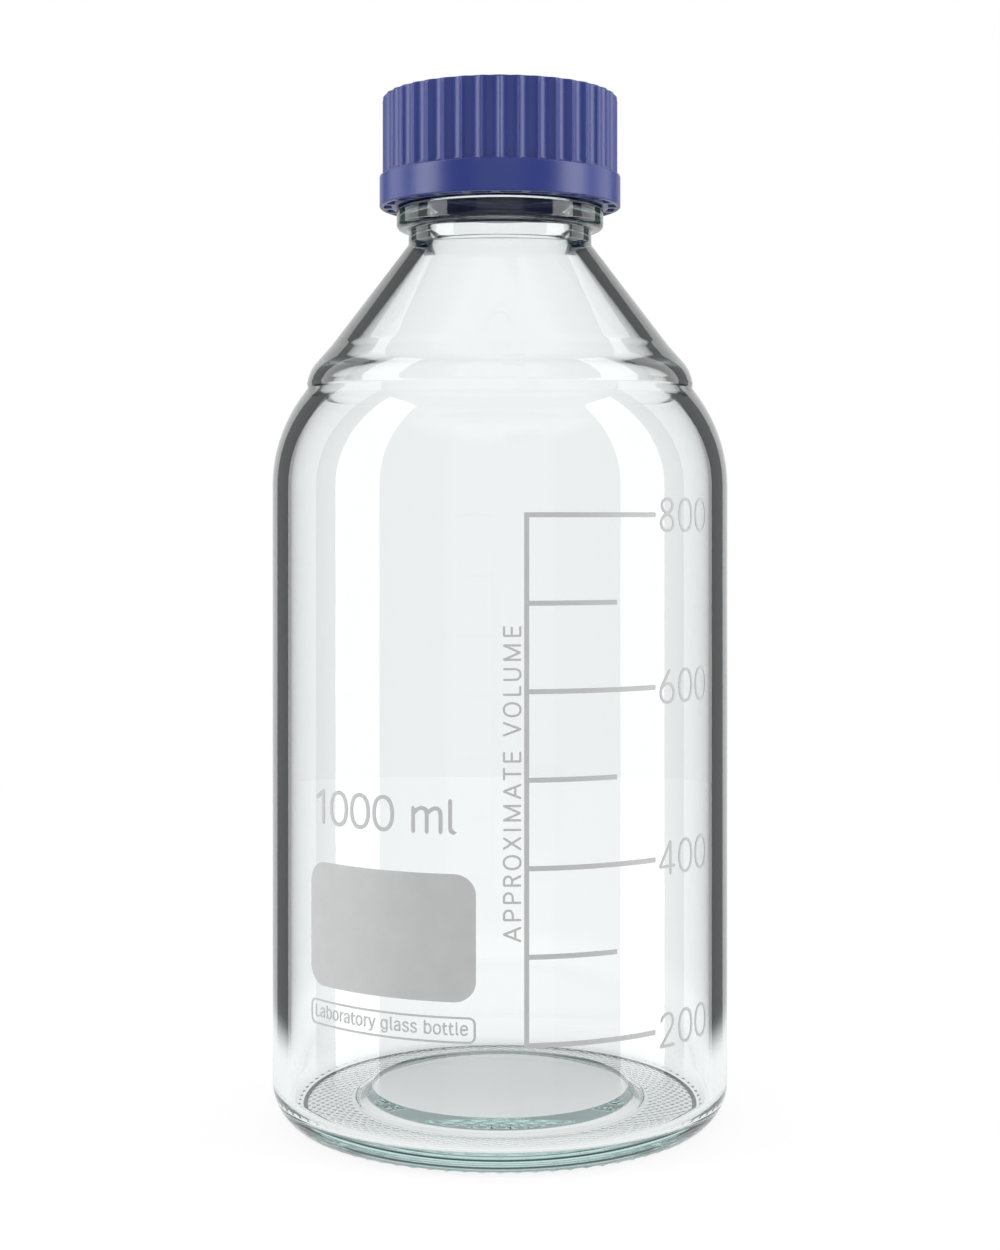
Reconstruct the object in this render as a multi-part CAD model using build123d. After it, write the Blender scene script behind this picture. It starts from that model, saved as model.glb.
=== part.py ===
from build123d import *
import os
from math import asin, cos, degrees, pi, radians, sin, sqrt

os.makedirs("parts", exist_ok=True)

# A one litre laboratory bottle: moulded glass with a 45 mm screw finish, a pouring ring
# snapped over the lip, a loose two-layer seal and a fluted screw cap.
# Millimetres. The bottle stands on z = 0 with its axis on Z and its scale facing -Y.

# glass: heights run up from the plane it stands on
body_r = 50.5
wall = 4.0
barrel_top_z = 139.0
shoulder_arc_r = 34.0
seam_rise = 21.75
bead_stand = 0.3
bead_arc_r = 8.55
bead_top_angle = 54.5
cone_rise = 31.95
neck_r = 20.4
neck_h = 3.4
bore_r = 15.6
collar_stand = 0.67
collar_h = 4.5
collar_round = 1.2
finish_h = 20.2
lip_round = 0.4
neck_blend = 1.5

# glass base
base_t = 3.6
recess_h = 0.9
push_up = 2.0
plateau_r = 28.5
plateau_foot = 3.5
heel_h = 8.0
bearing_out_r = 46.3
bearing_in_r = 44.0
recess_slope = 1.3
inner_heel_round = 3.0
nub_count = 80
nub_h = 0.35
nub_band = 1.1
nub_share = 0.5

# 45 mm screw finish
thread_pitch = 4.0
thread_r = 22.4
thread_depth = 1.5
thread_turns = 2.0
thread_base_w = 2.6
thread_tip_w = 1.2
thread_start = 5.6
thread_clearance = 0.25
flank_clearance = 0.3
thread_sink = 0.4

# pouring ring
ring_t = 0.85
ring_inner_t = 0.7
ring_top_t = 1.0
ring_fit = 0.05
ring_skirt = 3.2
ring_inner_skirt = 2.6
ring_round = 0.25
snap_depth = 0.25
snap_h = 0.8
snap_drop = 1.5
snap_slope = 0.2

# seal
facing_t = 0.3
pad_t = 1.6
seal_clearance = 0.25

# screw cap
cap_wall = 3.55
cap_rim_stand = 0.66
cap_rim_h = 6.9
cap_top_t = 2.0
cap_gap = 0.5
cap_edge = 0.6
flute_count = 40
flute_depth = 0.75
pocket_count = 24
pocket_wall = 0.95
pocket_inner_wall = 1.5
pocket_depth = 3.4
pocket_share = 0.72
lead_in = 0.4
catch_overlap = 0.3
catch_h = 0.5

# fired print: angles run round the barrel from the front, growing to the right
print_t = 0.1
print_margin = 1.0
side_share = 1.0
scale_angle = 6.05
scale_line = 1.0
scale_top_z = 132.7
scale_step = 17.66
scale_marks = 7
top_mark = 8
mark_step = 100
long_tick_angle = 39.0
short_tick_angle = 27.9
numeral_size = 9.7
numeral_line = 0.6
numeral_angle = 43.0
numeral_pitch = 6.75
capacity_line = 0.8
capacity_z = 72.4
capacity_angle = -47.4
capacity_pitch = 6.5
unit_size = 8.7
unit_angles = {"m": -16.9, "l": -10.8}
legend_size = 4.92
legend_line = 0.45
legend_length = 63.1
legend_angle = 2.75
legend_z = 79.0
label_angle = -28.2
label_span = 45.5
panel_low_z = 35.3
panel_h = 25.6
panel_corner = 4.2
frame_low_z = 27.1
frame_h = 5.3
frame_line = 0.4
frame_corner = 1.4
title_size = 3.35
title_line = 0.34

# worked-out radii and levels
thread_root_r = thread_r - thread_depth
collar_r = thread_r + collar_stand
seam_z = barrel_top_z + seam_rise
cone_top_z = seam_z + cone_rise
collar_z = cone_top_z + neck_h
collar_top_z = collar_z + collar_h
lip_z = collar_top_z + finish_h
ring_top_z = lip_z + ring_top_t
pad_z = ring_top_z + facing_t
cap_ceiling_z = pad_z + pad_t
cap_top_z = cap_ceiling_z + cap_top_t
cap_low_z = collar_top_z + cap_gap
skirt_z = lip_z - ring_skirt
floor_z = recess_h + base_t
inner_r = body_r - wall
lip_r = thread_root_r - ring_t - ring_fit
groove_r = lip_r - snap_depth
snap_z = lip_z - snap_drop
cap_bore_r = thread_r + thread_clearance
cap_r = cap_bore_r + cap_wall
cap_rim_r = cap_r + cap_rim_stand
seal_r = cap_bore_r - seal_clearance


def lathe(profile):
    return revolve(Plane.XZ * profile, Axis.Z)


def rounded(profile, corner, radius):
    nearest = profile.vertices().sort_by_distance((corner[0], corner[1], 0))[0]
    return fillet(nearest, radius)


def arc_point(centre, radius, angle):
    return centre[0] + radius * cos(radians(angle)), centre[1] + radius * sin(radians(angle))


def thread_ridge(radius, depth, root_w, tip_w, low_z):
    path = Pos(0, 0, low_z) * Helix(thread_pitch, thread_pitch * thread_turns, radius)
    sink = -thread_sink if depth > 0 else thread_sink
    section = Polygon(
        (sink, -root_w / 2),
        (0, -root_w / 2),
        (depth, -tip_w / 2),
        (depth, tip_w / 2),
        (0, root_w / 2),
        (sink, root_w / 2),
        align=None,
    )
    start = Plane(origin=path @ 0, x_dir=(1, 0, 0), z_dir=path % 0)
    return sweep(start * section, path=path, is_frenet=True)


# ---- glass bottle ----

shoulder_centre = (body_r - shoulder_arc_r, barrel_top_z)
seam_r = shoulder_centre[0] + sqrt(shoulder_arc_r**2 - seam_rise**2)
bead_r = seam_r + bead_stand
bead_centre = (bead_r - bead_arc_r, seam_z)
bead_top = arc_point(bead_centre, bead_arc_r, bead_top_angle)
bead_middle = arc_point(bead_centre, bead_arc_r, bead_top_angle / 2)
shoulder_middle_z = barrel_top_z + seam_rise / 2
shoulder_middle = (
    shoulder_centre[0] + sqrt(shoulder_arc_r**2 - (seam_rise / 2) ** 2),
    shoulder_middle_z,
)
heel_reach = body_r - bearing_out_r
heel_r = (heel_reach**2 + heel_h**2) / (2 * heel_reach)
heel_middle = (
    body_r - heel_r + sqrt(heel_r**2 - (heel_h / 2) ** 2),
    heel_h / 2,
)

# inner surface: each outer arc is followed one wall further in
seam_angle = degrees(asin(seam_rise / shoulder_arc_r))
inner_arc_r = shoulder_arc_r - wall
inner_seam = arc_point(shoulder_centre, inner_arc_r, seam_angle)
inner_shoulder_middle = arc_point(shoulder_centre, inner_arc_r, seam_angle / 2)
inner_bead_r = bead_arc_r - wall
inner_bead_foot = arc_point(bead_centre, inner_bead_r, 0)
inner_bead_middle = arc_point(bead_centre, inner_bead_r, bead_top_angle / 2)
inner_bead_top = arc_point(bead_centre, inner_bead_r, bead_top_angle)
cone_run = bead_top[0] - neck_r
cone_fall = cone_top_z - bead_top[1]
cone_length = sqrt(cone_run**2 + cone_fall**2)
cone_offset = wall * cone_length / cone_fall
inner_cone_foot = (bead_top[0] - wall * cone_fall / cone_length, bead_top[1] - wall * cone_run / cone_length)
inner_neck_z = cone_top_z - (bore_r - (neck_r - cone_offset)) * cone_fall / cone_run

outer = [
    Line((0, recess_h + push_up), (plateau_r, recess_h + push_up)),
    Line((plateau_r, recess_h + push_up), (plateau_r + plateau_foot, recess_h)),
    Line((plateau_r + plateau_foot, recess_h), (bearing_in_r - recess_slope, recess_h)),
    Line((bearing_in_r - recess_slope, recess_h), (bearing_in_r, 0)),
    Line((bearing_in_r, 0), (bearing_out_r, 0)),
    ThreePointArc((bearing_out_r, 0), heel_middle, (body_r, heel_h)),
    Line((body_r, heel_h), (body_r, barrel_top_z)),
    ThreePointArc((body_r, barrel_top_z), shoulder_middle, (seam_r, seam_z)),
    Line((seam_r, seam_z), (bead_r, seam_z)),
    ThreePointArc((bead_r, seam_z), bead_middle, bead_top),
    Polyline(
        bead_top,
        (neck_r, cone_top_z),
        (neck_r, collar_z),
        (collar_r, collar_z),
        (collar_r, collar_top_z),
        (thread_root_r, collar_top_z),
        (thread_root_r, skirt_z - ring_fit),
        (lip_r, skirt_z - ring_fit),
        (lip_r, snap_z - snap_h - ring_fit),
        (groove_r, snap_z - snap_h - ring_fit),
        (groove_r, snap_z + ring_fit),
        (lip_r, snap_z + ring_fit),
        (lip_r, lip_z),
        (bore_r, lip_z),
        (bore_r, inner_neck_z),
        inner_cone_foot,
        inner_bead_top,
    ),
    ThreePointArc(inner_bead_top, inner_bead_middle, inner_bead_foot),
    Line(inner_bead_foot, inner_seam),
    ThreePointArc(inner_seam, inner_shoulder_middle, (inner_r, barrel_top_z)),
    Polyline(
        (inner_r, barrel_top_z),
        (inner_r, floor_z),
        (plateau_r + plateau_foot, floor_z),
        (plateau_r, floor_z + push_up),
        (0, floor_z + push_up),
        (0, recess_h + push_up),
    ),
]
glass_profile = make_face(Curve() + outer)
for corner, radius in [
    ((inner_r, floor_z), inner_heel_round),
    ((collar_r, collar_z), collar_round),
    ((collar_r, collar_top_z), lip_round),
    ((neck_r, cone_top_z), neck_blend),
    ((neck_r, collar_z), lip_round),
    ((bore_r, inner_neck_z), neck_blend),
    ((bore_r, lip_z), lip_round),
    ((lip_r, lip_z), lip_round),
    ((bearing_out_r, 0), lip_round),
    ((plateau_r, floor_z + push_up), lip_round),
    ((plateau_r + plateau_foot, floor_z), plateau_foot / 2),
]:
    glass_profile = rounded(glass_profile, corner, radius)

glass_bottle = lathe(glass_profile)
glass_bottle += thread_ridge(
    thread_root_r,
    thread_r - thread_root_r,
    thread_base_w,
    thread_tip_w,
    collar_top_z + thread_start,
)
nub_pitch = 2 * pi * bearing_out_r / nub_count
notch = Pos(bearing_out_r, 0, 0) * Box(2 * nub_band, nub_pitch * (1 - nub_share), 2 * nub_h)
glass_bottle -= PolarLocations(0, nub_count) * notch
export_step(glass_bottle, "parts/glass_bottle.step")

# ---- pouring ring, snapped over the lip ----

ring_bore_r = lip_r + ring_fit
snap_r = groove_r + ring_fit
throat_r = bore_r - ring_fit
ring_profile = make_face(
    Polyline(
        (throat_r, lip_z),
        (ring_bore_r, lip_z),
        (ring_bore_r, snap_z),
        (snap_r, snap_z - snap_slope),
        (snap_r, snap_z - snap_h + snap_slope),
        (ring_bore_r, snap_z - snap_h),
        (ring_bore_r, skirt_z),
        (thread_root_r, skirt_z),
        (thread_root_r, ring_top_z),
        (throat_r - ring_inner_t, ring_top_z),
        (throat_r - ring_inner_t, lip_z - ring_inner_skirt),
        (throat_r, lip_z - ring_inner_skirt),
        (throat_r, lip_z),
    )
)
ring_profile = rounded(ring_profile, (thread_root_r, ring_top_z), ring_round)
ring_profile = rounded(ring_profile, (throat_r - ring_inner_t, ring_top_z), ring_round)
export_step(lathe(ring_profile), "parts/pouring_ring.step")

# ---- loose seal: a thin slippery facing under a rubber pad ----

seal_facing = Pos(0, 0, ring_top_z) * extrude(Circle(seal_r), facing_t)
export_step(seal_facing, "parts/seal_facing.step")
seal_pad = Pos(0, 0, pad_z) * extrude(Circle(seal_r), pad_t)
export_step(seal_pad, "parts/seal_pad.step")

# ---- screw cap ----

half_flute = radians(180 / flute_count)
flute_chord = 2 * cap_r * sin(half_flute)
flute_r = flute_chord**2 / (8 * flute_depth) + flute_depth / 2
flute_centre_r = cap_r * cos(half_flute) - flute_depth + flute_r
rim_top_z = cap_low_z + cap_rim_h
grip_profile = Circle(cap_r) - PolarLocations(flute_centre_r, flute_count) * Circle(flute_r)
grip = Pos(0, 0, cap_low_z) * extrude(grip_profile, cap_top_z - cap_low_z)
edge_trim = make_face(
    Polyline(
        (0, cap_low_z),
        (cap_r, cap_low_z),
        (cap_r, cap_top_z - cap_edge),
        (cap_r - cap_edge, cap_top_z),
        (0, cap_top_z),
        (0, cap_low_z),
    )
)
rim_profile = make_face(
    Polyline(
        (0, cap_low_z),
        (cap_rim_r, cap_low_z),
        (cap_rim_r, rim_top_z),
        (0, rim_top_z),
        (0, cap_low_z),
    )
)
rim_profile = rounded(rim_profile, (cap_rim_r, rim_top_z), cap_rim_r - cap_r)
rim_profile = rounded(rim_profile, (cap_rim_r, cap_low_z), lead_in)
catch_r = seal_r - catch_overlap
catch_top_z = ring_top_z - ring_fit
cavity_profile = make_face(
    Polyline(
        (0, cap_low_z),
        (cap_bore_r + lead_in, cap_low_z),
        (cap_bore_r, cap_low_z + lead_in),
        (cap_bore_r, catch_top_z - 2 * catch_h),
        (catch_r, catch_top_z - catch_h),
        (catch_r, catch_top_z),
        (cap_bore_r, catch_top_z),
        (cap_bore_r, cap_ceiling_z),
        (0, cap_ceiling_z),
        (0, cap_low_z),
    )
)
pocket_profile = Polygon(
    (cap_bore_r + pocket_inner_wall, cap_low_z),
    (cap_rim_r - pocket_wall, cap_low_z),
    (cap_rim_r - pocket_wall, cap_low_z + pocket_depth),
    (cap_bore_r + pocket_inner_wall, cap_low_z + pocket_depth),
    align=None,
)
pocket = revolve(Plane.XZ * pocket_profile, Axis.Z, revolution_arc=360 / pocket_count * pocket_share)

screw_cap = (grip & lathe(edge_trim)) + lathe(rim_profile)
screw_cap -= lathe(cavity_profile)
screw_cap -= PolarLocations(0, pocket_count) * pocket
# the cap's ridge fills what the glass thread leaves between its turns, less the running gap
ridge_tip_r = thread_root_r + thread_clearance
glass_slope = (thread_base_w - thread_tip_w) / (thread_r - thread_root_r)
gap_at_tip = thread_pitch - thread_base_w + glass_slope * (ridge_tip_r - thread_root_r)
gap_at_bore = thread_pitch - thread_base_w + glass_slope * (cap_bore_r - thread_root_r)
screw_cap += thread_ridge(
    cap_bore_r,
    ridge_tip_r - cap_bore_r,
    gap_at_bore - 2 * flank_clearance,
    gap_at_tip - 2 * flank_clearance,
    collar_top_z + thread_start - thread_pitch / 2,
)
export_step(screw_cap, "parts/screw_cap.step")

# ---- fired print on the barrel ----


def pressed(shape):
    # a flat shape laid on the front of the barrel at height 0, as thick as the print
    box = shape.bounding_box()
    low_z = box.min.Y - print_margin
    front = Plane(origin=(0, -body_r + print_margin, 0), x_dir=(1, 0, 0), z_dir=(0, -1, 0))
    if box.size.X > body_r / 2:
        front = front.offset(-body_r / 2)
    block = extrude(front * shape, print_margin + body_r)
    skin = extrude(Circle(body_r + print_t) - Circle(body_r), box.size.Y + 2 * print_margin)
    return block & Pos(0, 0, low_z) * skin


def placed(print_piece, angle, height):
    return Pos(0, 0, height) * Rot(0, 0, angle) * print_piece


def one_by_one(shapes, angle, height):
    # each letter of a line goes on at its own place round the barrel
    marks = []
    for shape in shapes:
        along = shape.bounding_box().center().X
        marks.append(placed(pressed(Pos(-along, 0, 0) * shape), angle + degrees(along / body_r), height))
    return marks


def stripe(from_angle, to_angle, low_z, high_z):
    section = Polygon(
        (body_r, low_z),
        (body_r + print_t, low_z),
        (body_r + print_t, high_z),
        (body_r, high_z),
        align=None,
    )
    turned = revolve(Plane.XZ * section, Axis.Z, revolution_arc=to_angle - from_angle)
    return Rot(0, 0, from_angle - 90) * turned


def straight_sided(wire, spacing):
    points = []
    for edge in wire.order_edges():
        pieces = 1 if edge.geom_type == GeomType.LINE else max(1, round(edge.length / spacing))
        for piece in range(pieces):
            point = edge @ (piece / pieces)
            if not points or (point - points[-1]).length > spacing / 2:
                points.append(point)
    if (points[0] - points[-1]).length < spacing / 2:
        points.pop()
    return make_face(Polyline(*points, close=True))


def lettering(text, size, line):
    # single strokes of one width, with every curve drawn as short straight sides
    strokes = Text(
        text,
        font_size=size,
        font="singleline",
        single_line_width=line,
        align=(Align.CENTER, Align.CENTER),
    )
    letters = []
    for face in strokes.faces():
        letter = straight_sided(face.outer_wire(), line * side_share)
        for hole in face.inner_wires():
            letter -= straight_sided(hole, line * side_share)
        letters.append(letter)
    return letters


label_w = 2 * body_r * sin(radians(label_span / 2))
panel = RectangleRounded(label_w, panel_h, panel_corner)
writing_panel = placed(pressed(panel), label_angle, panel_low_z + panel_h / 2)
export_step(writing_panel, "parts/writing_panel.step")

frame = RectangleRounded(label_w, frame_h, frame_corner)
frame -= RectangleRounded(label_w - 2 * frame_line, frame_h - 2 * frame_line, frame_corner - frame_line)
frame_mid_z = frame_low_z + frame_h / 2
export_step(placed(pressed(frame), label_angle, frame_mid_z), "parts/title_frame.step")

title = lettering("Laboratory glass bottle", title_size, title_line)
export_step(Compound(one_by_one(title, label_angle, frame_mid_z)), "parts/title_print.step")

line_angle = degrees(scale_line / 2 / body_r)
low_mark_z = scale_top_z - scale_step * (scale_marks - 1)
scale_ladder = stripe(
    scale_angle - line_angle,
    scale_angle + line_angle,
    low_mark_z - scale_line / 2,
    scale_top_z + scale_line / 2,
)
for mark in range(scale_marks):
    tick_angle = short_tick_angle if mark % 2 else long_tick_angle
    tick_z = scale_top_z - mark * scale_step
    scale_ladder += stripe(scale_angle, tick_angle, tick_z - scale_line / 2, tick_z + scale_line / 2)
export_step(scale_ladder, "parts/scale_ladder.step")

figures = {digit: pressed(lettering(digit, numeral_size, numeral_line)[0]) for digit in "02468"}
numerals = []
for mark in range(0, scale_marks, 2):
    tick_z = scale_top_z - mark * scale_step
    for place, digit in enumerate(str((top_mark - mark) * mark_step)):
        numerals.append(placed(figures[digit], numeral_angle + place * numeral_pitch, tick_z))
export_step(Compound(numerals), "parts/scale_numerals.step")

bold_figures = {digit: pressed(lettering(digit, numeral_size, capacity_line)[0]) for digit in "01"}
capacity = []
for place, digit in enumerate("1000"):
    capacity.append(placed(bold_figures[digit], capacity_angle + place * capacity_pitch, capacity_z))
figure_low_z = capacity_z + bold_figures["0"].bounding_box().min.Z
for letter, angle in unit_angles.items():
    unit = pressed(lettering(letter, unit_size, capacity_line)[0])
    capacity.append(placed(unit, angle, figure_low_z - unit.bounding_box().min.Z))
export_step(Compound(capacity), "parts/capacity_mark.step")

words = "APPROXIMATE VOLUME"
legend = lettering(words, legend_size, legend_line)
legend = sorted(legend, key=lambda letter: letter.bounding_box().min.X)
legend_natural = legend[-1].bounding_box().max.X - legend[0].bounding_box().min.X
legend_stretch = (legend_length - legend_natural) / (len(words) - 1)
upright = []
for place, letter in enumerate(legend):
    gaps_before = place + (place >= words.index(" "))
    shift = legend_stretch * (gaps_before - (len(words) - 1) / 2)
    upright.append(Rot(0, 0, 90) * Pos(shift, 0) * letter)
export_step(Compound(one_by_one(upright, legend_angle, legend_z)), "parts/scale_legend.step")
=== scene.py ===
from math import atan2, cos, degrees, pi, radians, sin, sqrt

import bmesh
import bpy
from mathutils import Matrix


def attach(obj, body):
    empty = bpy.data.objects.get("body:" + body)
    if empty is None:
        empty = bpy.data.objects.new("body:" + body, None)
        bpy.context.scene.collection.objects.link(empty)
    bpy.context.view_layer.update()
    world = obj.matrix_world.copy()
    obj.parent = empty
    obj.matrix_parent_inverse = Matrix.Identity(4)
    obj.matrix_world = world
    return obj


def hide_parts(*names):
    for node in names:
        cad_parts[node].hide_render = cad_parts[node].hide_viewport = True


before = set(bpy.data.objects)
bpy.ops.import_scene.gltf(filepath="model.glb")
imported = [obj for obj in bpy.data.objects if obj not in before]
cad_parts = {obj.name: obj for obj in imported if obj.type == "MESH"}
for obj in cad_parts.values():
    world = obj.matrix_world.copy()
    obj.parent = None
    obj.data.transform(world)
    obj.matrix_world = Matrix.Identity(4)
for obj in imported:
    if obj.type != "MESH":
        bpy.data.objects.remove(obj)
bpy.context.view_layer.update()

# %% [markdown]
# # A one litre screw-cap laboratory bottle
#
# The measured frame gives every piece its place. It holds the glass, the printed marks, the ring over
# the lip, the loose seal and the cap. This lesson gives each of them its final surface. The frame's
# solids are right in size, but glass shows every facet, so the glass and the cap are turned again here
# with finer rows. The small marks, the ring and the seal keep the frame's own solids and get a finish.

mm = 0.001
full_turn = 2 * pi

# %% [markdown]
# # Drawing a turned profile
#
# Nearly every piece is a body of revolution, so each starts as a half section: a list of radius and
# height, in millimetres. Straight lines and arcs are enough for moulded glass and plastic, and both can
# be worked out from a few sizes. A curve object with a Screw modifier would be another way to turn a
# section, but threads and flutes need every point's angle, so the rows are kept as plain numbers.

# %% Lines and arcs
def unit(from_point, to_point):
    """The direction across, the direction up and the distance from one point to another."""
    across = to_point[0] - from_point[0]
    up = to_point[1] - from_point[1]
    length = sqrt(across**2 + up**2)
    return across / length, up / length, length


def on_circle(centre, radius, angle):
    """The point of a circle at an angle in degrees."""
    return centre[0] + radius * cos(radians(angle)), centre[1] + radius * sin(radians(angle))


def arc(centre, radius, from_angle, to_angle, steps):
    """Points along an arc, both ends included."""
    swing = to_angle - from_angle
    return [on_circle(centre, radius, from_angle + swing * i / steps) for i in range(steps + 1)]


def divided(from_point, to_point, pitch):
    """Even rows along a straight run, for a surface that will carry a thread."""
    across, up, length = unit(from_point, to_point)
    count = round(length / pitch)
    steps = [length * i / count for i in range(count + 1)]
    return [(from_point[0] + across * step, from_point[1] + up * step) for step in steps]


print("a 3 by 4 line measures", unit((0, 0), (3, 4))[2])

# %% [markdown]
# # Softening the corners
#
# Moulded glass and plastic have no true corners, and a softened corner is what catches the light. So a
# corner may carry a third number, the radius that softens it. A bevel modifier would round them all
# alike, and here each corner needs its own radius. The arc is drawn as a rational curve, with a weight
# that makes it truly round. Long straight runs get a support row close to each end, so that the smooth
# shading bends only at the corner and the long wall stays optically straight.

# %% Soft corners
corner_steps = 6
side_share = 0.48
support = 0.25
long_run = 6 * support


def soft_corner(before, corner, after, radius):
    """The corner's own arc, tangent to the lines on both sides of it."""
    before_x, before_y, back = unit(corner, before)
    after_x, after_y, ahead = unit(corner, after)
    turn = max(-1.0, min(1.0, before_x * after_x + before_y * after_y))
    half = sqrt((1 - turn) / (1 + turn))
    reach = min(radius / half, back * side_share, ahead * side_share)
    start = (corner[0] + before_x * reach, corner[1] + before_y * reach)
    end = (corner[0] + after_x * reach, corner[1] + after_y * reach)
    weight = half / sqrt(1 + half**2)
    points = []
    for i in range(corner_steps + 1):
        t = i / corner_steps
        near, middle, far = (1 - t) ** 2, 2 * t * (1 - t) * weight, t**2
        whole = near + middle + far
        parts = zip(start, corner, end)
        points.append(tuple((near * s + middle * c + far * e) / whole for s, c, e in parts))
    return points


def soften(corners):
    """Rounds the corners that ask for it and adds the support rows."""
    softened = []
    for i, corner in enumerate(corners):
        if len(corner) > 2 and 0 < i < len(corners) - 1:
            softened += soft_corner(corners[i - 1][:2], corner[:2], corners[i + 1][:2], corner[2])
        else:
            softened.append(corner[:2])
    rows = []
    for point, after in zip(softened, softened[1:]):
        rows.append(point)
        across, up, length = unit(point, after)
        if length > long_run:
            for step in (support, length - support):
                rows.append((point[0] + across * step, point[1] + up * step))
    return rows + [softened[-1]]


print("rows of one soft corner:", len(soften([(0, 0), (10, 0, 1.0), (10, 10)])))

# %% [markdown]
# # Turning it
#
# The profile is carried round the axis, and each row of points is joined to the next by faces. A row on
# the axis shrinks to one point. The shaping function may move a point as it goes round, and that is how
# flutes, threads and nubs are cut: a screw thread is only a bump whose height depends on the angle.

# %% The lathe
axis_r = 1e-6


def turned(profile, angles, shaped):
    """Points and faces of a profile carried once round the axis."""
    steps = len(angles)
    points = []
    rows = []
    for radius, height in profile:
        if radius < axis_r:
            rows.append([len(points)] * steps)
            points.append((0.0, 0.0, height * mm))
            continue
        rows.append(list(range(len(points), len(points) + steps)))
        for angle in angles:
            r, z = shaped(radius, height, angle)
            points.append((r * mm * cos(angle), r * mm * sin(angle), z * mm))
    faces = []
    for here, there in zip(rows, rows[1:]):
        for j in range(steps):
            k = (j + 1) % steps
            face = [here[j], here[k], there[k], there[j]]
            faces.append([v for n, v in enumerate(face) if v not in face[:n]])
    return points, faces


def piece_from(name, points, faces, finish, body, replaces):
    """A smooth mesh that rides on a body and stands for some of the frame's nodes."""
    mesh = bpy.data.meshes.new(name)
    mesh.from_pydata(points, [], faces)
    mesh.validate()
    mesh.materials.append(finish)
    mesh.shade_smooth()
    made = bpy.data.objects.new(name, mesh)
    bpy.context.collection.objects.link(made)
    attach(made, body)
    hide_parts(*replaces)
    print(f"{name}: {len(points)} points, {len(faces)} faces")
    return made


# %% [markdown]
# # Finishes
#
# Each finish is a small set of nodes. The wrapper below lets the sums be written as sums, so that a
# pattern reads like the formula it is. Colours go through Mix nodes. Each finish could also be drawn by
# hand in the node editor, but written out it can be read, compared and changed in one place.

# %% Node wrapper
class Socket:
    """A value on its way through the nodes. Sums of these make Math nodes."""

    def __init__(self, tree, value=None):
        self.tree = tree
        self.value = value

    def plug(self, socket, value):
        if isinstance(value, Socket):
            self.tree.links.new(value.value, socket)
        else:
            socket.default_value = value

    def node(self, kind, settings=None, take=0, **sockets):
        """Any node: its settings, then its inputs by name, or by number after an underscore."""
        made = self.tree.nodes.new(kind)
        for setting, value in (settings or {}).items():
            setattr(made, setting, value)
        for name, value in sockets.items():
            key = int(name[1:]) if name[0] == "_" else name.replace("_", " ")
            self.plug(made.inputs[key], value)
        return Socket(self.tree, made.outputs[take])

    def math(self, operation, first, second=0.0):
        return self.node("ShaderNodeMath", {"operation": operation}, _0=first, _1=second)

    def blend(self, low, high):
        return self.node("ShaderNodeMix", {"data_type": "RGBA"}, take=2, _0=self, _6=low, _7=high)

    def __add__(self, other):
        return self.math("ADD", self, other)

    def __radd__(self, other):
        return self.math("ADD", other, self)

    def __sub__(self, other):
        return self.math("SUBTRACT", self, other)

    def __rsub__(self, other):
        return self.math("SUBTRACT", other, self)

    def __mul__(self, other):
        return self.math("MULTIPLY", self, other)

    def __rmul__(self, other):
        return self.math("MULTIPLY", other, self)


# %% [markdown]
# # An empty finish
#
# Every finish starts from the same three nodes: where the point lies on the object, the shader and the
# output. Patterns hang from the object's own coordinates, in metres, so that they keep their scale and
# need no unwrapping. What is the same all over a surface is set on the shader itself.

# %% Finish helpers
def new_finish(name):
    """An empty material, its shader, its output and the place on the object."""
    material = bpy.data.materials.new(name)
    material.use_nodes = True
    tree = material.node_tree
    tree.nodes.clear()
    shader = tree.nodes.new("ShaderNodeBsdfPrincipled")
    output = tree.nodes.new("ShaderNodeOutputMaterial")
    tree.links.new(shader.outputs["BSDF"], output.inputs["Surface"])
    return material, shader, output, Socket(tree).node("ShaderNodeTexCoord", take="Object")


def noise(place, scale, detail=2.0):
    return place.node("ShaderNodeTexNoise", Vector=place, Scale=scale, Detail=detail)


def bump(place, height, strength, distance):
    return place.node("ShaderNodeBump", Height=height, Strength=strength, Distance=distance)


def set_constants(shader, **values):
    for name, value in values.items():
        shader.inputs[name.replace("_", " ")].default_value = value


def count_nodes(material):
    print(f"{material.name}: {len(material.node_tree.nodes)} nodes")


# %% [markdown]
# # Clear glass
#
# The glass is fire-polished, so it is perfectly smooth and bends light as borosilicate does. A trace of
# colour is held in the body of the glass, not on its surface: thin walls look clear, and the thick base
# and the edges, where light travels far inside, turn grey green. A faint waviness from the mould keeps
# the wall from looking like a computed tube.

# %% Glass finish
glass_tint = (0.68, 0.87, 0.86, 1.0)
clear_glass, shader, output, place = new_finish("clear_glass")
set_constants(shader, Base_Color=(1.0, 1.0, 1.0, 1.0), Roughness=0.0, IOR=1.473, Transmission_Weight=1.0)
waviness = noise(place, scale=28.0, detail=1.0)
place.plug(shader.inputs["Normal"], bump(place, waviness, strength=0.02, distance=0.002))
body_colour = place.node("ShaderNodeVolumeAbsorption", Color=glass_tint, Density=20.0)
place.plug(output.inputs["Volume"], body_colour)
count_nodes(clear_glass)

# %% [markdown]
# # Blue moulded plastic
#
# The cap and the pouring ring are polypropylene coloured right through. The surface came off a blasted
# mould: satin, with a very fine grain, and the colour drifts slightly where the melt flowed.

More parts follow.
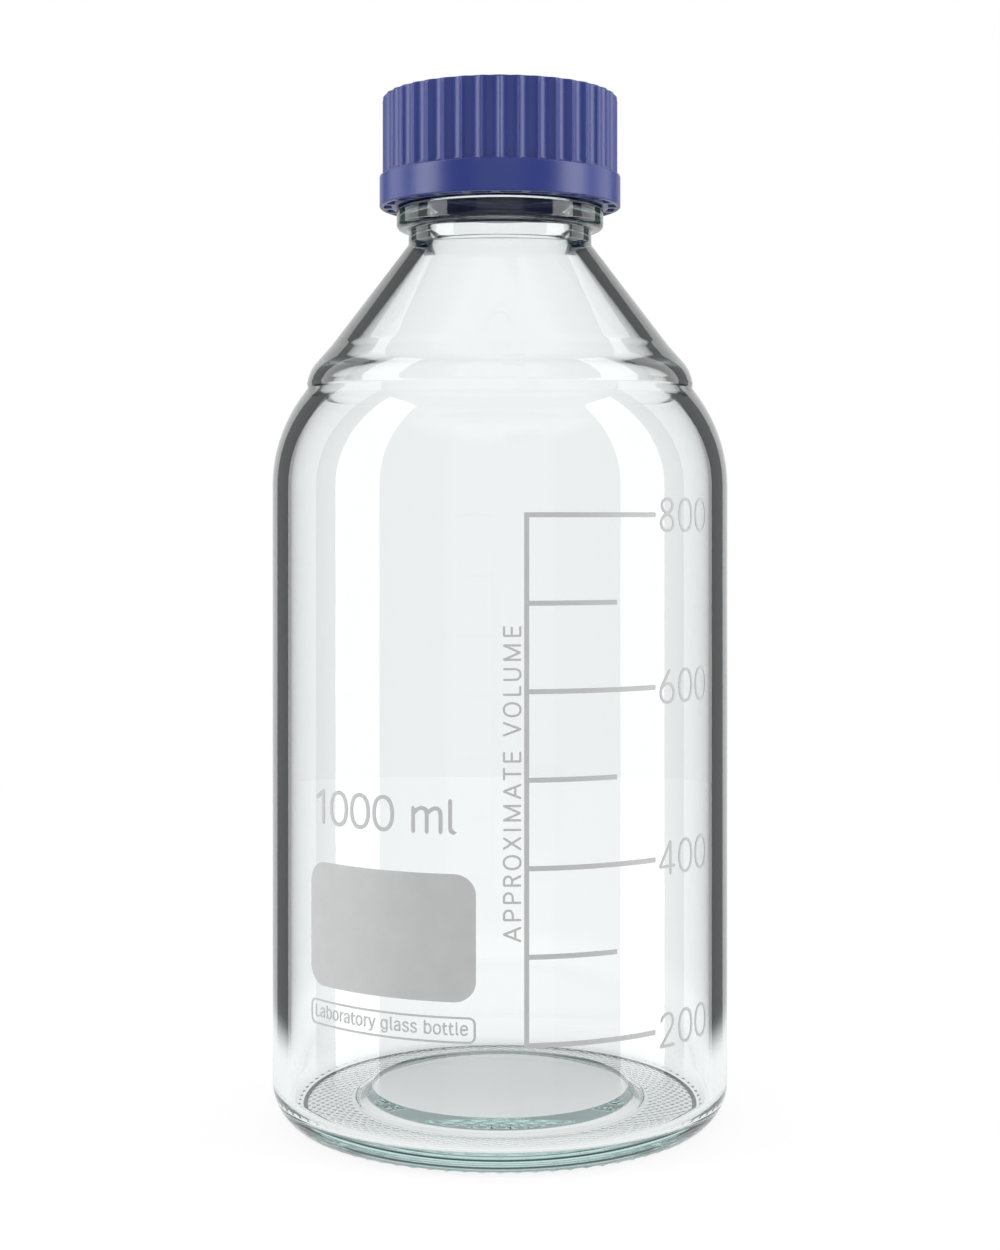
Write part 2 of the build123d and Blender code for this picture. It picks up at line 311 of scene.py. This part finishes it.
# %% Cap finish
deep_blue = (0.014, 0.026, 0.160, 1.0)
pale_blue = (0.020, 0.034, 0.190, 1.0)
blue_plastic, shader, output, place = new_finish("blue_plastic")
flow = noise(place, scale=60.0, detail=3.0)
grain = noise(place, scale=2600.0)
place.plug(shader.inputs["Base Color"], flow.blend(deep_blue, pale_blue))
place.plug(shader.inputs["Roughness"], 0.27 + flow * 0.08)
place.plug(shader.inputs["Normal"], bump(place, grain, strength=0.10, distance=0.0001))
set_constants(shader, IOR=1.49, Specular_IOR_Level=0.6)
count_nodes(blue_plastic)

# %% [markdown]
# # Fired print
#
# The marks are light grey enamel, screened on and fused to the barrel. It is thin and satin, a little
# uneven where the ink lay, and it never quite covers. That unevenness goes into the colour and the
# roughness.

# %% Print finish
thin_print = (0.36, 0.37, 0.37, 1.0)
full_print = (0.44, 0.45, 0.45, 1.0)
fired_print, shader, output, place = new_finish("fired_print")
patches = noise(place, scale=220.0, detail=4.0)
speckle = noise(place, scale=1500.0)
cover = patches * 0.7 + speckle * 0.3
place.plug(shader.inputs["Base Color"], cover.blend(thin_print, full_print))
place.plug(shader.inputs["Roughness"], 0.42 + speckle * 0.16)
place.plug(shader.inputs["Normal"], bump(place, speckle, strength=0.15, distance=0.00005))
count_nodes(fired_print)

# %% [markdown]
# # The seal's two layers
#
# The pad is a milky silicone rubber, and light goes a little way into it. The film bonded under it is
# dull white and slippery, so it is smoother and has no depth.

# %% Rubber finish
rubber_shade = (0.62, 0.60, 0.55, 1.0)
rubber_light = (0.74, 0.72, 0.67, 1.0)
seal_rubber, shader, output, place = new_finish("seal_rubber")
cloud = noise(place, scale=150.0, detail=3.0)
place.plug(shader.inputs["Base Color"], cloud.blend(rubber_shade, rubber_light))
place.plug(shader.inputs["Roughness"], 0.5 + cloud * 0.15)
set_constants(shader, Subsurface_Weight=0.2, Subsurface_Scale=0.001)
count_nodes(seal_rubber)

# %% Film finish
film_shade = (0.78, 0.78, 0.76, 1.0)
film_light = (0.88, 0.88, 0.86, 1.0)
white_facing, shader, output, place = new_finish("white_facing")
cloud = noise(place, scale=300.0, detail=3.0)
place.plug(shader.inputs["Base Color"], cloud.blend(film_shade, film_light))
place.plug(shader.inputs["Roughness"], 0.32 + cloud * 0.1)
count_nodes(white_facing)

# %% [markdown]
# # The glass bottle
#
# One closed skin makes the whole bottle: from the middle of the underside out to the standing ring, up
# the outside, over the lip and down the inside to the floor. A thin shell with a Solidify modifier
# would be quicker, but a real wall is thick in the base and at the neck, and that gives glass its look.
# The sizes are the frame's own, in millimetres. The shoulder is one arc that starts tangent to the
# barrel and stops at the seam, where the upper half was joined on.

# %% Barrel and shoulder
barrel_r = 50.5
wall = 4.0
inner_r = barrel_r - wall
barrel_top = 139.0
shoulder_r = 34.0
shoulder_rise = 21.75
shoulder_reach = sqrt(shoulder_r**2 - shoulder_rise**2)
shoulder_middle = (barrel_r - shoulder_r, barrel_top)
seam = (shoulder_middle[0] + shoulder_reach, barrel_top + shoulder_rise)
seam_angle = degrees(atan2(shoulder_rise, shoulder_reach))
print("seam, radius and height:", seam)

# %% [markdown]
# # Bead and cone
#
# Above the seam the glass swells in a low bead and then runs up to the neck in a straight cone. The
# wall is the same all the way, so the inside is drawn from the same arcs, one wall further in. An
# inside that left the outside would bend the light differently and show as dark rings at the seam.

# %% Bead, cone and neck
bead_r = 8.55
bead_turn = 54.5
bead_stand = 0.3
bead_middle = (seam[0] + bead_stand - bead_r, seam[1])
bead_top = on_circle(bead_middle, bead_r, bead_turn)
neck_r = 20.4
bore_r = 15.6
cone_rise = 31.95
cone_top = seam[1] + cone_rise
cone_run = bead_top[0] - neck_r
cone_fall = cone_top - bead_top[1]
cone_wall = wall * sqrt(cone_run**2 + cone_fall**2) / cone_fall
inner_neck_z = cone_top - (bore_r - (neck_r - cone_wall)) * cone_fall / cone_run
print("cone, run and fall:", cone_run, cone_fall)

# %% Where the bead eases into the cone
bead_end = 42.0
cone_foot_rise = 9.25
cone_foot_z = seam[1] + cone_foot_rise
cone_foot = (neck_r + (cone_top - cone_foot_z) * cone_run / cone_fall, cone_foot_z)
halfway = (bead_end + degrees(atan2(cone_run, cone_fall))) / 2
inner_cone_foot = on_circle(cone_foot, -wall, halfway)
print("cone foot, outside and inside:", cone_foot, inner_cone_foot)

# %% [markdown]
# # Collar, thread wall and lip
#
# The collar is the ring that the cap stops above. The thread wall runs from it to the skirt of the
# pouring ring, where the glass steps in, and a shallow groove under the lip holds the ring's snap.

# %% Neck finish sizes
neck_h = 3.4
collar_h = 4.5
collar_r = 23.07
collar_low = cone_top + neck_h
collar_top = collar_low + collar_h
thread_crest_r = 22.4
thread_root_r = 20.9
thread_pitch = 4.0
finish_h = 20.2
skirt_h = 3.25
lip_step = 0.9
snap_deep = 1.15
lip = collar_top + finish_h
skirt = lip - skirt_h
lip_r = thread_root_r - lip_step
snap_r = thread_root_r - snap_deep
snap_low = lip - 2.35
snap_high = lip - 1.45
print("lip height:", lip)

# %% [markdown]
# # Base and heel
#
# The underside is hollowed so that the bottle stands on a ring, and the middle is pushed up into a low
# plateau. The heel is one arc from the standing ring to the barrel. It meets the barrel without a kink.

# %% Base sizes
recess = 0.9
base_t = 3.6
push_up = 2.0
floor_z = recess + base_t
plateau_r = 28.5
plateau_slope = 3.5
plateau_foot_r = plateau_r + plateau_slope
heel_h = 8.0
stand_in_r = 44.0
stand_out_r = 46.3
heel_run = barrel_r - stand_out_r
heel_r = (heel_run**2 + heel_h**2) / (2 * heel_run)
heel_middle = (barrel_r - heel_r, heel_h)
heel_angle = -degrees(atan2(heel_h, heel_r - heel_run))
print("heel arc radius:", heel_r)

# %% [markdown]
# # The glass profile
#
# The outside is drawn in three runs. The underside comes first. Its rows lie close together round the
# plateau, because the nubs are cut there, and the standing ring has a few more for its notches. Then
# come the heel, the barrel and the shoulder, and then the bead, the cone and the collar. The radii at
# the corners follow the way such glass looks: sharp where the mould's parts meet, and gentle where the
# hot glass was free to flow. The arcs stop a little short of the seam, to leave its corner room.

# %% Corner radii
crisp = 0.1
tight = 0.2
rim_low_round = 0.3
edge = 0.5
collar_fillet = 0.6
stand_round = 0.8
seam_round = 0.9
recess_round = 1.2
collar_round = 1.2
fold = 1.5
inner_plateau_round = 1.8
inner_fold = 3.0
inner_neck_round = 4.0
cone_foot_round = 12.0
inner_cone_foot_round = cone_foot_round + wall
print("sharpest and gentlest corner:", crisp, inner_cone_foot_round)

# %% Underside
nub_first_r = plateau_foot_r + 0.3
nub_row_gap = 0.25
nub_row_count = 40
recess_r = 42.7
notch_rows = [45.2, 45.5, 45.8, stand_out_r]
underside = [(0, recess + push_up), (plateau_r, recess + push_up, fold), (plateau_foot_r, recess, fold)]
underside += [(nub_first_r + nub_row_gap * i, recess) for i in range(nub_row_count)]
underside += [(recess_r, recess, recess_round), (stand_in_r, 0, stand_round)]
underside += [(r, 0) for r in notch_rows]
print("underside rows:", len(underside))

# %% Outside of the glass
heel_steps = 14
shoulder_steps = 24
bead_steps = 10
bead_start = 6
shoulder_end = seam_angle - 2
seam_ease = 0.1
heel = arc(heel_middle, heel_r, heel_angle, 0, heel_steps)
shoulder = arc(shoulder_middle, shoulder_r, 0, shoulder_end, shoulder_steps)
bead = arc(bead_middle, bead_r, bead_start, bead_end, bead_steps)
neck = [(*cone_foot, cone_foot_round), (neck_r, cone_top, fold), (neck_r, collar_low, collar_fillet)]
collar = [(collar_r, collar_low, collar_round), (collar_r, collar_top, edge), (thread_root_r, collar_top)]
seam_corner = [(seam[0] + seam_ease, seam[1] - seam_ease, seam_round)]
outside = soften(underside + heel[1:] + shoulder + seam_corner + bead + neck + collar)
print("outside rows:", len(outside))

# %% [markdown]
# # The inside
#
# The thread wall has even rows, close enough for the thread's flanks. The inside follows the outside
# down, over the lip, through the neck, past the cone, the bead and the shoulder, to the floor and its
# plateau. Where the outside bends inwards the inside's bend is one wall rounder, and the corner between
# wall and floor is round all through, as it is when hot glass is blown.

# %% Thread wall and inside of the glass
thread_wall_low = collar_top + 0.6
thread_wall_high = skirt - 0.2
thread_row = 0.3
inner_bead_start = 12
inner_bead_steps = 8
inner_seam_drop = 0.4
inner_seam = (bead_middle[0] + bead_r - wall, seam[1] - inner_seam_drop, inner_fold)
threaded = divided((thread_root_r, thread_wall_low), (thread_root_r, thread_wall_high), thread_row)
snap = [(lip_r, snap_low, crisp), (snap_r, snap_low, crisp), (snap_r, snap_high, crisp)]
inside = soften(
    [(thread_root_r, thread_wall_high), (thread_root_r, skirt, tight), (lip_r, skirt, tight)]
    + snap
    + [(lip_r, snap_high, crisp), (lip_r, lip, edge), (bore_r, lip, edge)]
    + [(bore_r, inner_neck_z, inner_neck_round), (*inner_cone_foot, inner_cone_foot_round)]
    + arc(bead_middle, bead_r - wall, bead_end, inner_bead_start, inner_bead_steps)
    + [inner_seam]
    + arc(shoulder_middle, shoulder_r - wall, shoulder_end, 0, shoulder_steps)
    + [(inner_r, floor_z, inner_fold), (plateau_foot_r, floor_z, inner_plateau_round)]
    + [(plateau_r, floor_z + push_up, edge), (0, floor_z + push_up)]
)
glass_profile = outside + threaded[:-1] + inside
print("glass rows:", len(glass_profile))

# %% [markdown]
# # The thread
#
# A thread ridge is a bump across the wall that climbs one pitch in each turn. Its ends fade out over an
# eighth of a turn, as moulded threads do. The same function cuts the glass thread outwards and the
# cap's thread inwards, half a pitch lower, so the two run past each other with a gap all the way. A
# Screw modifier on a small section would be another way, but it would only lie on the wall.

# %% Thread shape
thread_turns = 2.0
thread_fade = 0.12
glass_thread_start = collar_top + 5.6


def ridge(height, angle, start, crest_w, root_w):
    """How far a thread stands off its wall, from 0 to 1."""
    stand = 0.0
    for lap in range(-1, int(thread_turns) + 2):
        run = angle / full_turn + lap
        if not 0 <= run <= thread_turns:
            continue
        off = abs(height - start - thread_pitch * run)
        flank = max(0.0, min(1.0, (root_w - 2 * off) / (root_w - crest_w)))
        ends = min(1.0, run / thread_fade, (thread_turns - run) / thread_fade)
        stand = max(stand, flank * flank * (3 - 2 * flank) * max(0.0, ends) ** 0.5)
    return stand


print("thread height:", thread_turns * thread_pitch)

# %% [markdown]
# # Nubs and notches
#
# The ring between the plateau and the foot is stippled with tiny nubs, and the standing ring is
# notched. Both keep the hot glass from marking the belt. Each ring of nubs is a cosine round the axis,
# and every second ring is turned by half a nub, which gives the pattern its weave.

# %% Glass shape
nub_count = 80
nub_h = 0.28
nub_ring = 1.0
nubs_from = 33.0
nubs_to = 42.6
notch_h = 0.35
notch_from = 45.3
notch_fade = 0.4
near = 0.01


def shape_glass(r, z, angle):
    if abs(r - thread_root_r) < near and thread_wall_low <= z <= thread_wall_high:
        stand = ridge(z, angle, glass_thread_start, crest_w=1.2, root_w=2.6)
        return r + (thread_crest_r - thread_root_r) * stand, z
    if z < recess + near and nubs_from < r < nubs_to:
        rings_out = (r - nubs_from) / nub_ring
        around = cos(nub_count * angle + pi * (int(rings_out) % 2))
        return r, z - nub_h * sin(rings_out * pi) ** 2 * max(0.0, around)
    if z < near and r > notch_from:
        deep = min(1.0, (r - notch_from) / notch_fade)
        return r, z + notch_h * (0.5 - 0.5 * cos(nub_count * angle)) * deep
    return r, z


glass_steps = 320
glass_angles = [full_turn * i / glass_steps for i in range(glass_steps)]
points, faces = turned(glass_profile, glass_angles, shape_glass)
piece_from("bottle_glass", points, faces, clear_glass, "bottle", ["glass_bottle"])

# %% [markdown]
# # The screw cap
#
# The cap is turned the same way, from the middle of its top down the fluted grip, round the rim, up the
# threaded bore and back to the middle of its ceiling. Its heights follow from the neck: it stops just
# above the collar, and its ceiling presses the seal on the ring over the lip.

# %% Cap sizes
cap_r = 26.2
rim_r = 26.86
rim_h = 6.9
cap_gap = 0.5
cap_top_t = 2.0
ring_top_t = 1.0
seal_t = 1.9
thread_gap = 0.25
catch_stand = 0.55
cap_low = collar_top + cap_gap
rim_top = cap_low + rim_h
seal_low = lip + ring_top_t
ceiling = seal_low + seal_t
cap_top = ceiling + cap_top_t
cap_bore_r = thread_crest_r + thread_gap
catch_r = cap_bore_r - catch_stand
catch_low = seal_low - 1.05
print("cap, low and top:", cap_low, cap_top)

# %% [markdown]
# # Flutes
#
# The forty flutes are shallow scoops that meet in sharp ridges. Each is part of a round cutter's path,
# so the cutter's radius comes from how wide and how deep the flute is. The steps round the axis crowd
# towards each ridge, so the ridge stays crisp while the scoop stays smooth. The flutes run out in a
# small round just above the rim.

# %% Flute shape
flute_count = 40
flute_depth = 0.75
flute_pitch = full_turn / flute_count
chord = 2 * cap_r * sin(pi / flute_count)
scoop_r = chord**2 / (8 * flute_depth) + flute_depth / 2
scoop_middle = cap_r * cos(pi / flute_count) - flute_depth + scoop_r
flute_samples = [0.0, 0.035, 0.11, 0.22, 0.36, 0.5, 0.64, 0.78, 0.89, 0.965]
cap_angles = [(i + sample) * flute_pitch for i in range(flute_count) for sample in flute_samples]


def scoop(angle):
    """Radius of the fluted wall at an angle. The ridges stand at whole flute pitches."""
    off = ((angle / flute_pitch) % 1.0 - 0.5) * flute_pitch
    return scoop_middle * cos(off) - sqrt(scoop_r**2 - (scoop_middle * sin(off)) ** 2)


print("cutter radius:", scoop_r)

# %% [markdown]
# # Cap shape
#
# Two things are cut while the cap is turned: the flutes, on the wall above the rim, and the thread, on
# the bore below the bead that catches the seal.

# %% Shaping the cap
grip_r = 24.5
shelf = 0.02
run_out_h = 0.7
cap_thread_low = cap_low + 1.0
cap_thread_high = catch_low - 0.1
cap_thread_depth = 1.5
cap_thread_start = glass_thread_start - thread_pitch / 2


def shape_cap(r, z, angle):
    if r > grip_r and z >= rim_top + shelf:
        rise = min(1.0, (z - rim_top) / run_out_h)
        cut_in = cap_r - min(cap_r, scoop(angle))
        return min(r, cap_r - cut_in * sqrt(1 - (1 - rise) ** 2)), z
    if abs(r - cap_bore_r) < near and cap_thread_low < z < cap_thread_high:
        return r - cap_thread_depth * ridge(z, angle, cap_thread_start, crest_w=1.0, root_w=2.4), z
    return r, z


print("cap thread starts at:", cap_thread_start)

# %% [markdown]
# # Turning the cap
#
# Just above the rim a few rows lie close together, to carry the run-out of the flutes. The underside of
# the rim has a row at each wall of the pockets, which are cut in the next step.

# %% Cap piece
pocket_inner_wall = 1.5
pocket_wall = 0.95
pocket_in_r = cap_bore_r + pocket_inner_wall
pocket_out_r = rim_r - pocket_wall
lead_in = 0.4
catch_high = seal_low - 0.05
catch_round = 0.5
rim_round = 0.55
top_rows = [(r, cap_top) for r in (0, 20.0, 24.4)]
top_edge = [(25.75, cap_top, 0.15), (cap_r, cap_top - edge, tight)]
cap_outside = soften(
    top_rows
    + top_edge
    + [(cap_r, rim_top + rise) for rise in (run_out_h, 0.45, 0.25, 0.1, shelf)]
    + [(cap_r + shelf, rim_top), (rim_r, rim_top, rim_round), (rim_r, cap_low, rim_low_round)]
    + [(pocket_out_r, cap_low), (pocket_in_r, cap_low), (cap_bore_r + lead_in, cap_low)]
    + [(cap_bore_r, cap_low + lead_in)]
)
cap_thread = divided((cap_bore_r, cap_low + 0.6), (cap_bore_r, catch_low), thread_row)
cap_inside = soften(
    [(cap_bore_r, catch_low), (catch_r, catch_high - catch_round, crisp), (catch_r, catch_high, crisp)]
    + [(cap_bore_r, catch_high), (cap_bore_r, ceiling, tight), (0, ceiling)]
)
points, faces = turned(cap_outside + cap_thread[:-1] + cap_inside, cap_angles, shape_cap)
faces = [face[::-1] for face in faces]
cap = piece_from("cap_moulding", points, faces, blue_plastic, "cap", ["screw_cap"])

# %% [markdown]
# # Pockets under the rim
#
# The thick rim is cored out from below with a ring of small pockets, so that it cools evenly in the
# mould. The faces between the two walls are picked in groups and pushed up. A boolean cut would do the
# same, but the rows are already in the right places.

# %% Rim pockets
pocket_count = 24
pocket_deep = 3.4
pocket_share = 0.72
pocket_turn = full_turn / pocket_count
cut = bmesh.new()
cut.from_mesh(cap.data)
chosen = []
for face in cut.faces:
    centre = face.calc_center_median() / mm
    reach = sqrt(centre.x**2 + centre.y**2)
    if abs(centre.z - cap_low) < near and pocket_in_r < reach < pocket_out_r:
        if (atan2(centre.y, centre.x) % full_turn) / pocket_turn % 1.0 < pocket_share:
            chosen.append(face)
pushed = bmesh.ops.extrude_face_region(cut, geom=chosen)
raised = [part for part in pushed["geom"] if isinstance(part, bmesh.types.BMVert)]
bmesh.ops.translate(cut, verts=raised, vec=(0, 0, pocket_deep * mm))
left_over = [face for face in chosen if face.is_valid]
bmesh.ops.delete(cut, geom=left_over, context="FACES")
cut.to_mesh(cap.data)
cut.free()
print("pocket faces:", len(chosen), "left over:", len(left_over))

# %% [markdown]
# # Marks, ring and seal
#
# The frame's own solids are already fine enough here, so they only change their finish. The nodes come
# from the frame with plain materials in their slots, and each slot is given the finish made above.

# %% Finishes for the carried-over parts
label_marks = ["writing_panel", "title_frame", "title_print", "capacity_mark"]
scale_marks = ["scale_ladder", "scale_numerals", "scale_legend"]
carried_over = [
    (fired_print, label_marks + scale_marks),
    (blue_plastic, ["pouring_ring"]),
    (seal_rubber, ["seal_pad"]),
    (white_facing, ["seal_facing"]),
]
for finish, node_names in carried_over:
    for node_name in node_names:
        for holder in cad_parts[node_name].material_slots:
            holder.material = finish
    print(finish.name, "on", len(node_names), "parts")

# %% [markdown]
# # What the glass sees
#
# Clear glass is drawn by what stands round it. Light that comes straight, or only passes through, sees
# white, so the bottle stays light. Light that was mirrored once, off the skin or inside a single wall,
# sees a dim studio, and that draws the dark line down each edge. Light that was mirrored more often, as
# in the thick base, sees a middle grey, so the base keeps its light. The Light Path node counts the
# mirrorings. Black cards behind the bottle would be another way, but they'd only suit one side.

# %% Kinds of light
def path_depth(place, kind):
    return place.node("ShaderNodeLightPath", take=kind + " Depth")


def mirrored(place):
    """1 for light that was mirrored on its way, 0 for light that came straight or only through."""
    return place.math("GREATER_THAN", path_depth(place, "Glossy"), 0.5)


def simple_path(place):
    """1 for light mirrored once, off the skin or inside a single wall."""
    once = place.math("LESS_THAN", path_depth(place, "Glossy"), 1.5)
    one_wall = place.math("LESS_THAN", path_depth(place, "Transmission"), 2.5)
    return mirrored(place) * once * one_wall


def scattered(place):
    """1 for light that a dull surface sent on."""
    return place.math("GREATER_THAN", path_depth(place, "Diffuse"), 0.5)


def between(value, low, high):
    """A soft step from 0 at low to 1 at high."""
    settings = {"interpolation_type": "SMOOTHSTEP"}
    return value.node("ShaderNodeMapRange", settings, Value=value, From_Min=low, From_Max=high)


# %% [markdown]
# # The surround
#
# The studio is a little lighter straight up and straight down, which lays a soft sheen on the level
# edges. Scattered light gets its own level, so the cap and the print can be lit without changing what
# the glass mirrors.

# %% Surround
backdrop = 1.0
dim_studio = 0.065
steep_light = 0.15
fill_light = 0.62
busy_path = 0.38
steep_zone = (0.60, 0.90)
world = bpy.data.worlds.new("studio")
bpy.context.scene.world = world
world.use_nodes = True
sky = Socket(world.node_tree).node("ShaderNodeTexCoord", take="Generated")
slope = sky.math("ABSOLUTE", sky.node("ShaderNodeSeparateXYZ", take="Z", Vector=sky))
studio = dim_studio + between(slope, *steep_zone) * (steep_light - dim_studio)
studio = busy_path + simple_path(sky) * (studio - busy_path)
level = backdrop + mirrored(sky) * (studio - backdrop)
level = level + scattered(sky) * (1 - mirrored(sky)) * (fill_light - backdrop)
sky.plug(world.node_tree.nodes["Background"].inputs["Strength"], level)
world.node_tree.nodes["Background"].inputs["Color"].default_value = (1.0, 1.0, 1.0, 1.0)
print("surround:", len(world.node_tree.nodes), "nodes")

# %% [markdown]
# # The floor
#
# The floor is mostly a white glow, the same as the backdrop, with a small share of real paint that
# takes the bottle's faint shadow. To mirrored light it is there only close to the foot and clear
# further out. Otherwise the glass would show the floor's white as a bright band, and its far edge too.

# %% Floor
floor_r = 0.60
floor_steps = 96
shadow_share = 0.16
foot_zone = (0.085, 0.125)
white = (1.0, 1.0, 1.0, 1.0)
paint_shade = (0.92, 0.92, 0.92, 1.0)
paint_light = (0.94, 0.94, 0.94, 1.0)
pale_floor, shader, output, place = new_finish("pale_floor")
mottle = noise(place, scale=9.0)
place.plug(shader.inputs["Base Color"], mottle.blend(paint_shade, paint_light))
set_constants(shader, Roughness=0.9, Specular_IOR_Level=0.0)
paint = Socket(place.tree, shader.outputs[0])
glow = place.node("ShaderNodeEmission", Color=white, Strength=backdrop)
solid = place.node("ShaderNodeMixShader", _0=shadow_share, _1=glow, _2=paint)
from_axis = place.node("ShaderNodeVectorMath", {"operation": "LENGTH"}, take="Value", _0=place)
clear = place.node("ShaderNodeBsdfTransparent", Color=white)
clearing = mirrored(place) * between(from_axis, *foot_zone)
place.plug(output.inputs["Surface"], place.node("ShaderNodeMixShader", _0=clearing, _1=solid, _2=clear))
count_nodes(pale_floor)

# %% Floor piece
floor_turns = [full_turn * i / floor_steps for i in range(floor_steps)]
floor_edge = [(floor_r * cos(turn), floor_r * sin(turn), 0) for turn in floor_turns]
floor_mesh = bpy.data.meshes.new("floor")
floor_mesh.from_pydata(floor_edge, [], [tuple(range(floor_steps))])
floor_mesh.materials.append(pale_floor)
floor_piece = bpy.data.objects.new("floor", floor_mesh)
bpy.context.collection.objects.link(floor_piece)
print("floor radius:", floor_r)

# %% [markdown]
# # Lights
#
# Two tall soft boxes at the sides lay the long highlights down the barrel and the cap. Weaker ones at
# the rear corners do the same for the back, and a wide one behind and one in front lift the edges and
# the cap's middle. A broad one overhead lights the floor's paint. They are set by how bright their face
# is, so that a box keeps its look when its size changes. None is seen directly or through the glass.

# %% Lights
box_distance = 1.0
side_height = 0.45
tall_box = 1.9


def soft_box(name, turn, height, width, tall, radiance):
    """A box of light that faces the axis, with its turn round the axis in degrees."""
    data = bpy.data.lights.new(name, "AREA")
    data.shape = "RECTANGLE"
    data.size = width
    data.size_y = tall
    data.energy = radiance * width * tall * pi
    lamp = bpy.data.objects.new(name, data)
    bpy.context.collection.objects.link(lamp)
    lamp.location = (*on_circle((0, 0), box_distance, turn), height)
    lamp.rotation_euler = (pi / 2, 0, radians(turn) + pi / 2)
    lamp.visible_camera = False
    lamp.visible_transmission = False
    print(f"{name}: {data.energy:.1f} W")
    return lamp


soft_box("left_box", 197, side_height, 0.48, tall_box, radiance=4.0)
soft_box("right_box", 343, side_height, 0.48, tall_box, radiance=4.0)
soft_box("back_box", 90, 0.30, 1.25, 1.6, radiance=0.75)
soft_box("front_box", 270, 0.40, 0.95, 1.4, radiance=0.45)
soft_box("left_rear_box", 155, side_height, 0.50, tall_box, radiance=1.6)
soft_box("right_rear_box", 25, side_height, 0.50, tall_box, radiance=1.6)
overhead = soft_box("overhead", 0, 1.2, 1.6, 1.6, radiance=0.45)
overhead.location = (0, 0, 1.2)
overhead.rotation_euler = (0, 0, 0)

# %% [markdown]
# # Camera
#
# The camera stands level at about the height of the top mark and looks straight at the front. The frame
# is shifted down, where the camera could be tilted instead, so that the upright sides stay parallel.
# Light is followed for more bounces than usual. With fewer, the light that is guided about inside the
# thick base would stop short and leave it black.

# %% Camera
lens_data = bpy.data.cameras.new("camera")
lens_data.sensor_width = 36.0
lens_data.lens = 60.6
lens_data.shift_y = -0.0882
lens_data.clip_start = 0.01
camera = bpy.data.objects.new("camera", lens_data)
bpy.context.collection.objects.link(camera)
camera.location = (0.0, -0.470, 0.1327)
camera.rotation_euler = (pi / 2, 0, 0)
scene = bpy.context.scene
scene.camera = camera
scene.view_settings.view_transform = "Standard"
scene.cycles.max_bounces = 24
scene.cycles.glossy_bounces = 16
scene.cycles.transmission_bounces = 20
print("camera at:", tuple(camera.location))
